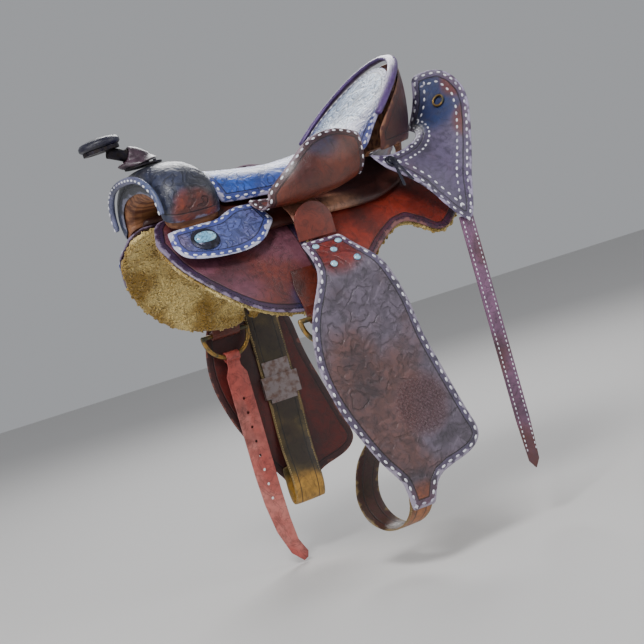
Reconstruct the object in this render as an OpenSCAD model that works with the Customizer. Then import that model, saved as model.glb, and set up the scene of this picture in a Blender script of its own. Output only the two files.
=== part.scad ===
// Western stock saddle, modelled as separate leather, wood and metal pieces.
// +X points to the horse's head, +Y to its near (left) side, +Z up, in millimetres.
// The origin is on the underside of the seat strainer, where a rail or saddle rack carries the saddle.

/* [Tree] */
// Radius of the round that each side of the saddle lies on
side_r = 458; // [454:1:462]
// Distance of the bars' inner edge from the middle of the channel
channel_half = 42; // [40:1:43]
// Thickness of a tree bar
bar_t = 16; // [14:0.5:16]

/* [Seat] */
// Height of the cantle rim above the strainer
cantle_h = 158; // [150:1:162]
// Height of the fork above the strainer
fork_h = 74; // [70:1:74]
// Thickness of the seat leather
seat_t = 6; // [5:0.5:6]

/* [Leather] */
// Thickness of skirts and fenders
skirt_t = 5; // [4:0.5:5]
// Thickness of jockeys and covers
jockey_t = 4; // [3:0.5:4]
// Thickness of the woolskin lining
fleece_t = 10; // [8:1:11]
// Width of the stirrup leather
strap_w = 76; // [70:1:76]
// Width of the latigo and the off billet
latigo_w = 46; // [40:1:48]

/* [Rigging dee] */
// Half the length of the dee's straight bar
dee_r = 50; // [48:1:50]
// Radius of the dee's round wire
wire_r = 4.5; // [4:0.1:4.5]

/* [Hidden] */

gap = 0.6;          // room left between two pieces that touch on the real saddle
lining_gap = 1.6;   // the same, between a skirt and its lining
side_top = 55;      // slope of the side at the channel, in degrees
side_cy = channel_half - side_r * cos(side_top);
side_cz = -16.5 - side_r * sin(side_top);
bar_d = skirt_t / 2 + gap;
bar_s = 122;        // breadth of a bar, measured down the side
rig_d = skirt_t / 2 + gap + 2;       // middle of the rigging plate, outside the skirt
cover_d = bar_d + bar_t + gap + 6;   // the jockeys lie this far out, over the bars

swing_x = 8;        // axis that a stirrup leather swings about, fore and aft
swing_z = -101;
lift_y = 179;       // axis that a fender lifts about
lift_z = -128;
fender_y = 250.5;
loop_y = 245;
dee_x = 62;
dee_y = 231;
dee_z = -262;
tail_x = -288;
tail_y = 202;
tail_z = -163;

// ---------- numbers and curves ----------
function lerp(a, b, t) = a + (b - a) * t;
function unit(v) = v / max(norm(v), 1e-9);
function smooth(t) = let (c = max(0, min(1, t))) c * c * (3 - 2 * c);

// A point of the smooth curve through the points p, t from 0 to 1
function spline(p, t) =
  let (n = len(p) - 1, k = max(min(floor(t * n), n - 1), 0), f = t * n - k,
       b = p[k], c = p[k + 1], a = k > 0 ? p[k - 1] : 2 * b - c, d = k + 2 <= n ? p[k + 2] : 2 * c - b)
  0.5 * (2 * b + (c - a) * f + (2 * a - 5 * b + 4 * c - d) * f * f + (3 * b - a - 3 * c + d) * f * f * f);
function net(g, u, v) = spline([for (column = g) spline(column, v)], u);

// The side of the saddle: x along the horse, s down the side from the channel, d outwards from the skirt
function flare(x, s) = 26 * smooth((x - 130) / 120) * pow(max(s - 120, 0) / 200, 1.3);
function side(x, s, d = 0) =
  let (a = side_top - s / side_r * 180 / PI, r = side_r + d)
  [x, side_cy + r * cos(a) + flare(x, s), side_cz + r * sin(a)];
function bar_top(y) =
  let (r = side_r + bar_d + bar_t + gap, c = (max(abs(y), 52) - side_cy) / r)
  side_cz + r * sqrt(1 - c * c);

// ---------- builders ----------
function sheet_normal(f, u, v) =
  let (e = 0.02, n = unit(cross(f(min(u + e, 1), v) - f(max(u - e, 0), v),
                                f(u, min(v + e, 1)) - f(u, max(v - e, 0)))))
  n[1] + n[2] > 0 ? n : -n;

// A sheet of leather: f(u, v) gives its middle, t its thickness
module sheet(f, nu, nv, t) {
  g = [for (i = [0:nu]) [for (j = [0:nv]) f(i / nu, j / nv)]];
  n = [for (i = [0:nu]) [for (j = [0:nv])
        unit(cross(g[min(i + 1, nu)][j] - g[max(i - 1, 0)][j], g[i][min(j + 1, nv)] - g[i][max(j - 1, 0)]))]];
  upper = [for (i = [0:nu]) for (j = [0:nv]) g[i][j] + n[i][j] * t / 2];
  lower = [for (i = [0:nu]) for (j = [0:nv]) g[i][j] - n[i][j] * t / 2];
  m = (nu + 1) * (nv + 1);
  w = nv + 1;
  quads = [
    for (i = [0:nu - 1]) for (j = [0:nv - 1]) let (k = i * w + j) [k, k + 1, k + w + 1, k + w],
    for (i = [0:nu - 1]) for (j = [0:nv - 1]) let (k = m + i * w + j) [k + w, k + w + 1, k + 1, k],
    for (i = [0:nu - 1]) let (k = i * w) [k + w, k + w + m, k + m, k],
    for (i = [0:nu - 1]) let (k = i * w + nv) [k, k + m, k + w + m, k + w],
    for (j = [0:nv - 1]) [j, j + m, j + 1 + m, j + 1],
    for (j = [0:nv - 1]) let (k = nu * w + j) [k + 1, k + 1 + m, k + m, k]];
  polyhedron(points = concat(upper, lower), convexity = 6,
             faces = [for (q = quads) each [[q[0], q[1], q[2]], [q[0], q[2], q[3]]]]);
}

// A solid through rings of points that turn to the left along its path
module loft(rings) {
  n = len(rings[0]);
  k = len(rings);
  quads = [for (i = [0:k - 2]) for (j = [0:n - 1])
            [i * n + j, (i + 1) * n + j, (i + 1) * n + (j + 1) % n, i * n + (j + 1) % n]];
  ends = [[for (j = [0:n - 1]) j], [for (j = [n - 1:-1:0]) (k - 1) * n + j]];
  polyhedron(points = [for (r = rings) each r],
             faces = concat([for (q = quads) each [[q[0], q[1], q[2]], [q[0], q[2], q[3]]]],
                            [for (e = ends) for (j = [1:n - 2]) [e[0], e[j], e[j + 1]]]), convexity = 6);
}

// Rings about a path: radius across the reference direction, then along it
function rings(path, ra, rb, reference, sides) =
  let (k = len(path) - 1)
  [for (i = [0:k])
    let (t = unit(path[min(i + 1, k)] - path[max(i - 1, 0)]), a = unit(cross(t, reference)), b = cross(t, a))
    [for (j = [0:sides - 1]) let (q = 360 * j / sides) path[i] + a * ra[i] * cos(q) + b * rb[i] * sin(q)]];

// An open tube through rings: outwards along the first list, back along the second
module tube(outer, inner) {
  all = concat(outer, [for (i = [len(inner) - 1:-1:0]) inner[i]]);
  n = len(outer[0]);
  k = len(all);
  quads = [for (i = [0:k - 1]) for (j = [0:n - 1])
            [i * n + j, ((i + 1) % k) * n + j, ((i + 1) % k) * n + (j + 1) % n, i * n + (j + 1) % n]];
  polyhedron(points = [for (r = all) each r],
             faces = [for (q = quads) each [[q[0], q[1], q[2]], [q[0], q[2], q[3]]]], convexity = 6);
}

// Sets its children on a sheet, their Z along the outward normal
module on(f, u, v, d) {
  n = sheet_normal(f, u, v);
  p = f(u, v) + n * d;
  translate(p) rotate([0, acos(n[2]), atan2(n[1], n[0])]) children();
}
module off_side() {
  mirror([0, 1, 0]) children();
}
module along_x(x0, x1, r) {
  translate([x0, 0, 0]) rotate([0, 90, 0]) cylinder(r = r, h = x1 - x0, $fn = 48);
}

// ---------- tree ----------
bar_edge = [[230, 8], [150, 0], [62, 0], [44, 12], [0, 13], [-44, 12], [-62, 0], [-150, 0], [-230, 8]];
bar_foot = [[230, 92], [150, bar_s], [62, bar_s], [44, bar_s], [0, bar_s], [-44, bar_s], [-62, bar_s],
            [-150, bar_s], [-230, 92]];
module tree_bar() {
  color("tan")
    sheet(function(u, v) let (p = lerp(spline(bar_edge, u), spline(bar_foot, u), v))
            side(p[0], p[1], bar_d + bar_t / 2), 24, 6, bar_t);
}
module tree_bar_near() tree_bar();
module tree_bar_off() off_side() tree_bar();

// The fork is an arch between its inner line and its outer line, wider above its feet
fork_foot_in = bar_top(80) + 1.6;
fork_foot_out = bar_top(116) + 1.6;
function fork_in(a) = [80 * cos(a), fork_foot_in + (15 - fork_foot_in) * sin(a)];
function fork_out(a, grow = 0) =
  let (c = cos(a), s = max(sin(a), 0))
  [sign(c) * ((150 + grow) * pow(abs(c), 0.75) - 34 * pow(1 - s, 3)),
   fork_foot_out + (fork_h + grow - fork_foot_out) * pow(s, 0.85)];
function fork_skin(a, b, grow) =
  let (i = fork_in(a), o = fork_out(a, grow), m = (i + o) / 2, h = (o - i) / 2,
       p = sign(cos(b)) * pow(abs(cos(b)), 0.7), q = sign(sin(b)) * pow(abs(sin(b)), 0.7), c = m + h * p)
  [208 - 10 * pow(cos(a), 2) + (44 + 6 * pow(cos(a), 2) + grow) * q, c[0], c[1]];
module tree_fork() {
  color("burlywood")
    loft([for (a = [180:-9:0]) [for (b = [0:20:340]) fork_skin(a, b, 0)]]);
}
module fork_cover() {
  color("steelblue")
    sheet(function(u, v) fork_skin(3 + 174 * u, -105 + 210 * v, gap + jockey_t / 2 + 1), 20, 12, jockey_t);
}
module gullet_roll() {
  path = [for (k = [0:20]) let (a = 12 + 7.8 * k, o = fork_out(a, 0), i = fork_in(a))
            [267 - 8 * pow(cos(a), 2), lerp(i[0], o[0], 0.8), lerp(i[1], o[1], 0.8)]];
  color("thistle") loft(rings(path, [for (p = path) 7], [for (p = path) 5.5], [1, 0, 0], 10));
}

// ---------- seat ----------
seat_w = [96, 112, 125, 150, 163];
seat_edge_x = [134, 72, 0, -84, -150];
seat_bow = [-14, 8, 40, 92, 152];
seat_edge_z = [-24, -30, -33, -22, 4];
seat_mid_z = [50, 34, 28, 54, cantle_h];
function seat(a, b, d = 0) =
  let (t = 90 * a, c = max(cos(t), 0), e = spline(seat_edge_z, b), back = smooth((b - 0.6) * 2.5),
       high = pow(c, lerp(1, 0.85, smooth(b))))
  [spline(seat_edge_x, b) - spline(seat_bow, b) * c - d * back * 0.7,
   (spline(seat_w, b) + d * 0.3) * sin(t),
   e + (spline(seat_mid_z, b) - e) * high + d * (1 - 0.45 * back)];
module seat_leather() {
  color("steelblue") sheet(function(u, v) seat(1 - 2 * v, u), 18, 20, seat_t);
}
module ground_seat() {
  color("sienna") sheet(function(u, v) seat(0.62 - 1.24 * v, 0.04 + 0.6 * u, -seat_t / 2 - 6), 12, 12, 9);
}
module seat_strainer() {
  color("silver") {
    translate([-165, -42, 0]) cube([240, 84, 1.5]);
    for (y = [-66, 40]) translate([-165, y, 1.4]) cube([240, 26, 1.5]);
  }
}
module strainer_screws() {
  color("silver")
    for (x = [-150, -60, 60]) for (y = [-56, 56]) translate([x, y, 3.5]) cylinder(r = 4, h = 1.8, $fn = 24);
}

// The rim of the cantle, t from the middle
function rim(t, back = 0) =
  [-150 - (152 + back) * cos(t), (163 + back * 0.6) * sin(t), 2 + (cantle_h - 2) * pow(max(cos(t), 0), 0.85)];
module tree_cantle() {
  color("burlywood")
    sheet(function(u, v) let (t = 54 - 108 * u, top = rim(t, 10) - [0, 0, 6], low = rim(t, -24),
                              y = lerp(top[1], min(max(low[1], -134), 134), v))
            [lerp(top[0], low[0], v), y, lerp(top[2], bar_top(y) + 5, v)], 16, 5, 9);
}
module cantle_back() {
  color("saddlebrown")
    sheet(function(u, v) let (t = 82 - 164 * u, top = rim(t, 23) + [0, 0, 10 * cos(t) - 6], low = rim(t, 3))
            [lerp(top[0], low[0], v) - 9 * sin(180 * v) * cos(t), lerp(top[1], low[1], v),
             lerp(top[2], -12 + 18 * cos(t), v)], 18, 5, jockey_t);
}
module cantle_binding() {
  path = [for (k = [0:24]) let (t = 78 - 6.5 * k) rim(t, 15) + [0, 0, 14.5]];
  color("rebeccapurple") loft(rings(path, [for (p = path) 11], [for (p = path) 6], [0, 0, 1], 10));
}

// ---------- horn ----------
horn_line = [[221, 0, 86], [223, 0, 92], [237, 0, 103], [260, 0, 113], [280, 0, 120]];
function horn_ring(lo, hi, k, r0, r1) =
  let (path = [for (i = [0:k]) spline(horn_line, lerp(lo, hi, i / k))],
       r = [for (i = [0:k]) lerp(r0, r1, i / k)])
  rings(path, r, r, [0, 1, 0], 18);
module horn_core() {
  color("dimgray") {
    loft(horn_ring(0, 1, 8, 14, 10));
    translate([220, 0, 81.6]) cylinder(r = 35, h = 3, $fn = 64);
    translate([290, 0, 124]) rotate([0, 4, 0]) cylinder(r = 34, h = 6, $fn = 64);
  }
}
module horn_bolts() {
  color("gray")
    for (q = [75, 115, 245, 285]) translate([220 + 31 * cos(q), 31 * sin(q), 85.2])
      cylinder(r = 3, h = 3, $fn = 24);
}
module horn_neck_wrap() {
  color("rosybrown") difference() {
    tube(horn_ring(0.1, 0.62, 7, 24, 18), horn_ring(0.1, 0.62, 7, 15, 13));
    translate([180, -40, 45.2]) cube([90, 80, 40]);
  }
}
module horn_cap() {
  color("midnightblue") translate([290.5, 0, 131]) rotate([0, 4, 0]) rotate_extrude($fn = 72)
    polygon([[0, 0], [35, 0], [39, 4], [39, 10], [34, 15], [20, 18], [0, 19]]);
}

// ---------- jockeys ----------
seat_jockey_net = [
  [[94, 113, -31], [94, 136, -47], [91, 158, -57], [88, 172, -54], [84, 180, -44], [82, 182, -30]],
  [[46, 121, -39], [44, 156, -58], [42, 192, -56], [40, 209, -38], [38, 211, -14], [38, 202, 8]],
  [[-8, 131, -42], [-8, 166, -57], [-9, 201, -50], [-10, 219, -22], [-11, 217, 12], [-12, 201, 42]],
  [[-62, 143, -38], [-64, 170, -52], [-66, 200, -42], [-68, 214, -12], [-70, 212, 22], [-70, 198, 52]],
  [[-106, 156, -28], [-112, 168, -38], [-118, 182, -32], [-122, 192, -10], [-124, 194, 14], [-124, 190, 34]]];
module seat_jockey() {
  color("slategray") sheet(function(u, v) net(seat_jockey_net, u, v), 12, 10, jockey_t);
}
module seat_jockey_near() seat_jockey();
module seat_jockey_off() off_side() seat_jockey();

front_jockey_top = [[262, 84], [244, 80], [205, 80], [166, 80], [146, 72], [120, 62], [76, 66]];
front_jockey_low = [[268, 116], [258, 144], [222, 158], [178, 164], [140, 163], [104, 150], [66, 114]];
front_jockey_mid = function(u, v) let (p = lerp(spline(front_jockey_top, u), spline(front_jockey_low, u), v))
  side(p[0], p[1], cover_d);
module front_jockey() {
  color("steelblue") sheet(front_jockey_mid, 16, 6, jockey_t);
}
module front_jockey_near() front_jockey();
module front_jockey_off() off_side() front_jockey();

module front_concho() {
  color("turquoise") on(front_jockey_mid, 0.36, 0.5, jockey_t / 2 + gap) rotate_extrude($fn = 64)
    polygon([[0, 0], [25, 0], [26, 1.5], [23, 4], [19, 4], [15, 6.5], [8, 8], [0, 8.4]]);
}
module front_concho_near() front_concho();
module front_concho_off() off_side() front_concho();

rear_jockey_net = [
  [[-152, 152, -10], [-158, 162, -24], [-168, 172, -40]],
  [[-188, 154, -20], [-206, 174, -48], [-226, 194, -92]],
  [[-226, 142, -16], [-256, 174, -66], [-288, 215, -188]],
  [[-264, 122, -8], [-306, 152, -46], [-332, 190, -96]],
  [[-292, 98, 2], [-342, 128, -4], [-384, 158, 4]],
  [[-308, 74, 10], [-362, 100, 34], [-410, 126, 74]],
  [[-318, 46, 16], [-360, 62, 60], [-396, 80, 122]],
  [[-320, 28, 22], [-342, 34, 66], [-354, 38, 122]]];
rear_jockey_mid = function(u, v) net(rear_jockey_net, u, v);
module rear_jockey() {
  color("lightslategray") sheet(rear_jockey_mid, 14, 7, jockey_t);
}
module rear_jockey_near() rear_jockey();
module rear_jockey_off() off_side() rear_jockey();
module jockey_ring() {
  color("goldenrod") on(rear_jockey_mid, 0.78, 0.6, jockey_t / 2 + gap + 4.2)
    rotate_extrude($fn = 48) translate([11, 0]) circle(r = 2.2, $fn = 20);
}
module jockey_ring_near() jockey_ring();
module jockey_ring_off() off_side() jockey_ring();

// ---------- skirts and woolskin linings ----------
front_top = [[262, 34], [240, 14], [190, 10], [130, 10], [70, 10], [20, 10]];
front_low = [[279, 78], [266, 150], [226, 214], [168, 268], [95, 294], [20, 296]];
rear_top = [[14, 10], [-50, 10], [-110, 10], [-170, 10], [-235, 12], [-300, 16], [-350, 26]];
rear_low = [[14, 296], [-50, 262], [-120, 206], [-185, 178], [-246, 222], [-326, 152], [-358, 60]];
module panel(top, low, nu, nv, d, t, more = 0) {
  sheet(function(u, v) let (p = lerp(spline(top, u), spline(low, u) + [0, more], v))
          side(p[0], p[1], d), nu, nv, t);
}
module front_skirt() {
  color("indianred") panel(front_top, front_low, 12, 9, 0, skirt_t);
}
module rear_skirt() {
  color("firebrick") panel(rear_top, rear_low, 16, 8, 0, skirt_t);
}
module front_lining() {
  color("cornsilk") panel(front_top, front_low, 12, 9, -skirt_t / 2 - lining_gap - fleece_t / 2, fleece_t, 3);
}
module rear_lining() {
  color("cornsilk") panel(rear_top, rear_low, 16, 8, -skirt_t / 2 - lining_gap - fleece_t / 2, fleece_t, 3);
}
module front_skirt_near() front_skirt();
module front_skirt_off() off_side() front_skirt();
module rear_skirt_near() rear_skirt();
module rear_skirt_off() off_side() rear_skirt();
module front_lining_near() front_lining();
module front_lining_off() off_side() front_lining();
module rear_lining_near() rear_lining();
module rear_lining_off() off_side() rear_lining();

// ---------- stirrup leathers and fenders ----------
hanger_line = [[62, -2], [90, -19], [121, -46], [147, -63], [165, -78], [174, -96], [174, -122]];
module leather_hanger() {
  color("peachpuff")
    sheet(function(u, v) let (p = spline(hanger_line, u)) [swing_x + 36 - 72 * v, p[0], p[1]], 14, 3, 4);
}
module leather_hanger_near() leather_hanger();
module leather_hanger_off() off_side() leather_hanger();

module leather_top() {
  color("peachpuff") {
    intersection() {
      translate([swing_x, lift_y + 2, swing_z]) rotate([90, 0, 0]) cylinder(r = strap_w / 2, h = 4, $fn = 96);
      translate([swing_x - strap_w, lift_y - 3, swing_z - 5]) cube([2 * strap_w, 6, strap_w]);
    }
    translate([swing_x - strap_w / 2, lift_y - 2, lift_z]) cube([strap_w, 4, swing_z - lift_z]);
    translate([0, lift_y, lift_z]) along_x(swing_x - strap_w / 2, swing_x + strap_w / 2, 2);
  }
}
module leather_top_near() leather_top();
module leather_top_off() off_side() leather_top();

fender_low = [-133, -165, -200, -270, -346, -423, -500, -546, -574, -594, -640];
fender_front = [48, 54, 66, 102, 114, 100, 68, 44, 25, 15, 11];
fender_rear = [-34, -46, -70, -95, -107, -128, -150, -162, -134, -62, -36];
function fender_out(z) =
  let (t = min(max((-133 - z) / 78, 0), 1)) lift_y + 2 + (fender_y - lift_y - 2) * sin(90 * t);
fender_mid = function(u, v)
  let (z = spline(fender_low, u), x = lerp(spline(fender_front, u), spline(fender_rear, u), v))
  [x, fender_out(z), z];
module fender() {
  color("rosybrown") sheet(fender_mid, 30, 8, skirt_t);
}
module fender_near() fender();
module fender_off() off_side() fender();

module fender_studs() {
  color("lightblue")
    for (p = [[0.045, 0.24], [0.045, 0.76], [0.085, 0.5], [0.16, 0.3], [0.16, 0.7]])
      on(fender_mid, p[0], p[1], skirt_t / 2 + 0.3) rotate_extrude($fn = 32)
        polygon([[0, 0], [6.5, 0], [6, 1.6], [3.5, 3], [0, 3.4]]);
}
module fender_studs_near() fender_studs();
module fender_studs_off() off_side() fender_studs();

open_loop = [[245, -215], [245, -280], [245, -345], [245, -400], [244, -440], [224, -470], [176, -506],
             [138, -540], [112, -580], [98, -622], [112, -658], [150, -676], [198, -668], [232, -642],
             [245, -604], [245, -560]];
flat_loop = [[245, -215], [245, -275], [245, -335], [245, -395], [245, -440], [244, -475], [240, -510],
             [232, -542], [223, -572], [217, -600], [217, -622], [227, -638], [240, -632], [245, -612],
             [245, -590], [245, -560]];
open_mid = [-30, -30, -30, -30, -30, -22, -6, 8, 14, 14, 8, -2, -10, -15, -16, -16];
flat_mid = [-30, -30, -30, -30, -30, -28, -25, -22, -20, -18, -16, -16, -16, -16, -16, -16];
module stirrup_loop(line, mid, foot_half) {
  half = [for (k = [0:15]) lerp(38, foot_half, smooth((k - 4) / 4)) * strap_w / 76];
  color("olive")
    sheet(function(u, v) let (p = spline(line, u)) [spline(mid, u) + spline(half, u) * (1 - 2 * v), p[0], p[1]],
          45, 2, 4);
}
module stirrup_loop_near() stirrup_loop(open_loop, open_mid, 26);
module stirrup_loop_off() off_side() stirrup_loop(flat_loop, flat_mid, 36);

module buckle_plate() {
  color("silver") translate([-60, loop_y - 3.8, -430]) cube([60, 1.2, 85]);
}
module buckle_plate_near() buckle_plate();
module buckle_plate_off() off_side() buckle_plate();
module buckle_sleeve() {
  w = strap_w / 2 + 0.8;
  color("silver") {
    translate([-30 - w - 2, loop_y - 6.6, -420]) cube([2 * w + 4, 2.2, 45]);
    for (x = [-30 - w - 2, -30 + w]) translate([x, loop_y - 6.6, -420]) cube([2, 8.9, 45]);
  }
}
module buckle_sleeve_near() buckle_sleeve();
module buckle_sleeve_off() off_side() buckle_sleeve();

// ---------- rigging ----------
rig_s = [216, 291];
module rig_plate() {
  sheet(function(u, v) let (s = lerp(rig_s[0], rig_s[1], u), half = lerp(22, 30, smooth(u * 2)))
          side(dee_x + half - 2 * half * v, s, rig_d + 1.6 * smooth(u * 3 - 1.6)), 14, 4, 4);
}
module rigging_strap() {
  color("brown") {
    rig_plate();
    difference() {
      union() {
        translate([0, dee_y, dee_z]) along_x(dee_x - 30, dee_x + 30, 9);
        translate([dee_x - 30, dee_y - 12.6, dee_z]) cube([60, 7, 22]);
      }
      translate([0, dee_y, dee_z]) along_x(dee_x - 31, dee_x + 31, 5.2);
    }
  }
}
module rigging_strap_near() rigging_strap();
module rigging_strap_off() off_side() rigging_strap();

module rigging_dee() {
  color("darkkhaki") {
    translate([0, dee_y, dee_z]) along_x(dee_x - dee_r, dee_x + dee_r, wire_r);
    translate([dee_x, dee_y, dee_z]) rotate([90, 0, 0]) rotate([0, 0, 180])
      rotate_extrude(angle = 180, $fn = 96) translate([dee_r, 0]) circle(r = wire_r, $fn = 32);
    for (x = [dee_x - dee_r, dee_x + dee_r]) translate([x, dee_y, dee_z]) sphere(r = wire_r, $fn = 32);
  }
}
module rigging_dee_near() rigging_dee();
module rigging_dee_off() off_side() rigging_dee();

// The eye of a strap around the foot of the dee
module strap_eye() {
  z = dee_z - dee_r + 1;
  difference() {
    translate([0, dee_y, z]) along_x(dee_x - 15, dee_x + 15, 10.5);
    translate([0, dee_y, z]) along_x(dee_x - 16, dee_x + 16, 7);
  }
}
module latigo() {
  color("firebrick") {
    strap_eye();
    translate([dee_x - 14, dee_y - 4, -338]) cube([28, 8, 20]);
    translate([dee_x - latigo_w / 2, dee_y - 4, -416]) cube([latigo_w, 8, 80]);
    translate([dee_x - 26, dee_y - 6, -352]) cube([52, 11, 14]);
  }
}
module off_billet() {
  w = latigo_w / 2;
  color("indianred") {
    off_side() strap_eye();
    difference() {
      translate([dee_x, -dee_y + 2, 0]) rotate([90, 0, 0]) linear_extrude(height = 4)
        polygon([[-14, -318.5], [14, -318.5], [14, -332], [w, -350], [w, -560], [w - 3, -620],
                 [w - 12, -680], [w - 30, -730], [w - 52, -752], [w - 62, -748], [w - 66, -736],
                 [w - 52, -706], [-w - 2, -660], [-w, -600], [-w, -350], [-14, -332]]);
      for (k = [0:7]) translate([dee_x, -dee_y, -400 - 30 * k]) rotate([90, 0, 0])
        cylinder(r = 3, h = 20, center = true, $fn = 24);
    }
  }
}

module tail_strap() {
  color("mediumpurple") {
    translate([0, tail_y, tail_z - 5]) along_x(tail_x - 15, tail_x + 15, 2);
    translate([tail_x, tail_y + 2, 0]) rotate([90, 0, 0]) linear_extrude(height = 4)
      polygon([[-15, tail_z - 5], [15, tail_z - 5], [15, -560], [11, -640], [0, -656], [-11, -640],
               [-15, -560]]);
  }
}
module tail_strap_near() tail_strap();
module tail_strap_off() off_side() tail_strap();

tree_bar_near();
tree_bar_off();
tree_fork();
tree_cantle();
horn_core();
horn_bolts();
horn_neck_wrap();
horn_cap();
seat_strainer();
strainer_screws();
ground_seat();
seat_leather();
fork_cover();
gullet_roll();
cantle_back();
cantle_binding();
front_jockey_near();
front_jockey_off();
seat_jockey_near();
seat_jockey_off();
rear_jockey_near();
rear_jockey_off();
front_skirt_near();
front_skirt_off();
rear_skirt_near();
rear_skirt_off();
front_lining_near();
front_lining_off();
rear_lining_near();
rear_lining_off();
leather_hanger_near();
leather_hanger_off();
rigging_strap_near();
rigging_strap_off();
front_concho_near();
front_concho_off();
jockey_ring_near();
jockey_ring_off();
leather_top_near();
leather_top_off();
fender_near();
fender_off();
stirrup_loop_near();
stirrup_loop_off();
fender_studs_near();
fender_studs_off();
buckle_plate_near();
buckle_plate_off();
buckle_sleeve_near();
buckle_sleeve_off();
rigging_dee_near();
rigging_dee_off();
tail_strap_near();
tail_strap_off();
latigo();
off_billet();
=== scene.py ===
"""An old western stock saddle: dyed, worn leather, white buckstitch, woolskin, brass and turquoise."""
import math

import bmesh
import bpy
from mathutils import Matrix, Vector, kdtree, noise
from mathutils.bvhtree import BVHTree


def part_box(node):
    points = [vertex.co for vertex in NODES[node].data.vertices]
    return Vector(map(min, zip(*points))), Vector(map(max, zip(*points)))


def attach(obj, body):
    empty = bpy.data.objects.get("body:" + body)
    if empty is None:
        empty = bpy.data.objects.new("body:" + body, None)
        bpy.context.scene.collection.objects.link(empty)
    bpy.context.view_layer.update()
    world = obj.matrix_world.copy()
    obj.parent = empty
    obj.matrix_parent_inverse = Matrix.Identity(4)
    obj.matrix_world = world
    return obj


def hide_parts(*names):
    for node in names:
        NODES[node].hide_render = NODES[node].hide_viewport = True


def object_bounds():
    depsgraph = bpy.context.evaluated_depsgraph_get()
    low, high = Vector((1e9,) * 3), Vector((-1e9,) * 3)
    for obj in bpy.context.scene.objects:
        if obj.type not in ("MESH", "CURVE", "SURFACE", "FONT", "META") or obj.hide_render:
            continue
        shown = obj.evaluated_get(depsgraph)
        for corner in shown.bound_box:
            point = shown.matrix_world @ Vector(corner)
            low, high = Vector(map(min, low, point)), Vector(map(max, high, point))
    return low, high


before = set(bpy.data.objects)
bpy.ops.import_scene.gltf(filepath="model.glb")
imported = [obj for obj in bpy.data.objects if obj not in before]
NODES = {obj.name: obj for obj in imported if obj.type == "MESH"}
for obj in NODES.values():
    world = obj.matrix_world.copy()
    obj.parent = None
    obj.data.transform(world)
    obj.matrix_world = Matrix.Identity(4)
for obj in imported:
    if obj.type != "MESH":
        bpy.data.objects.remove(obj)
cad_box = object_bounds()
SIDES = (("near", 1), ("off", -1))
MM = 0.001
SCREEN_GAMMA = 2.2
WELD = 0.01 * MM
FULL_EDGE = 80 * MM     # the "edge" attribute goes no higher, and a piece with no outline holds it everywhere
ROW_SPACING = 3 * MM    # between the points of a line of stitches, before the stitches are spaced out
MIX_A, MIX_B, MIX_RESULT = 6, 7, 2    # the colour sockets of a Mix node


def linear(colour):
    """A colour as it should look on screen, as the linear values a shader takes."""
    return tuple(c ** SCREEN_GAMMA for c in colour)


# ---------- shared effects ----------
def group(name, inputs, outputs):
    """A shader node group with float inputs (name, default) and outputs (name, socket type)."""
    tree = bpy.data.node_groups.new(name, "ShaderNodeTree")
    for label, value in inputs:
        tree.interface.new_socket(label, in_out="INPUT", socket_type="NodeSocketFloat").default_value = value
    for label, kind in outputs:
        tree.interface.new_socket(label, in_out="OUTPUT", socket_type=kind)
    return tree, tree.nodes.new("NodeGroupInput"), tree.nodes.new("NodeGroupOutput")


def node(tree, kind, links=(), **settings):
    """A node with its settings; links holds (input, source socket or value)."""
    made = tree.nodes.new(kind)
    for key, value in settings.items():
        setattr(made, key, value)
    for key, source in links:
        if isinstance(source, bpy.types.NodeSocket):
            tree.links.new(source, made.inputs[key])
        else:
            made.inputs[key].default_value = source
    return made


def math_node(tree, operation, *values):
    return node(tree, "ShaderNodeMath", list(enumerate(values)), operation=operation).outputs[0]


def times(tree, first, second):
    return math_node(tree, "MULTIPLY", first, second)


def minus(tree, first, second):
    return math_node(tree, "SUBTRACT", first, second)


def waves(tree, value, rate):
    """Rounded ridges: the sine of value times rate, with its dips turned up."""
    return math_node(tree, "ABSOLUTE", math_node(tree, "SINE", times(tree, value, rate)))


def far_from(tree, place, centre):
    """How far each place is from the centre, in metres."""
    return node(tree, "ShaderNodeVectorMath", [(0, place), (1, centre)], operation="DISTANCE").outputs["Value"]


def ramp(tree, value, low, high):
    """0 below low, 1 above high, smooth between."""
    return node(tree, "ShaderNodeMapRange", [("Value", value), ("From Min", low), ("From Max", high)],
                interpolation_type="SMOOTHSTEP").outputs["Result"]


def mix(tree, factor, first, second):
    """The first colour at factor 0, the second at 1; each is a socket or a colour as it should look."""
    made = node(tree, "ShaderNodeMix", [(0, factor)], data_type="RGBA")
    for socket, colour in ((MIX_A, first), (MIX_B, second)):
        if isinstance(colour, bpy.types.NodeSocket):
            tree.links.new(colour, made.inputs[socket])
        else:
            made.inputs[socket].default_value = (*linear(colour), 1)
    return made.outputs[MIX_RESULT]


def noise_of(tree, scale, detail=4.0, stretch=None):
    """Noise on the piece's own coordinates, drawn out along its axes by stretch."""
    place = node(tree, "ShaderNodeTexCoord").outputs["Object"]
    if stretch:
        place = node(tree, "ShaderNodeMapping", [("Vector", place), ("Scale", stretch)]).outputs[0]
    made = node(tree, "ShaderNodeTexNoise", [("Vector", place), ("Scale", scale), ("Detail", detail)])
    return made.outputs["Fac"]


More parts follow.
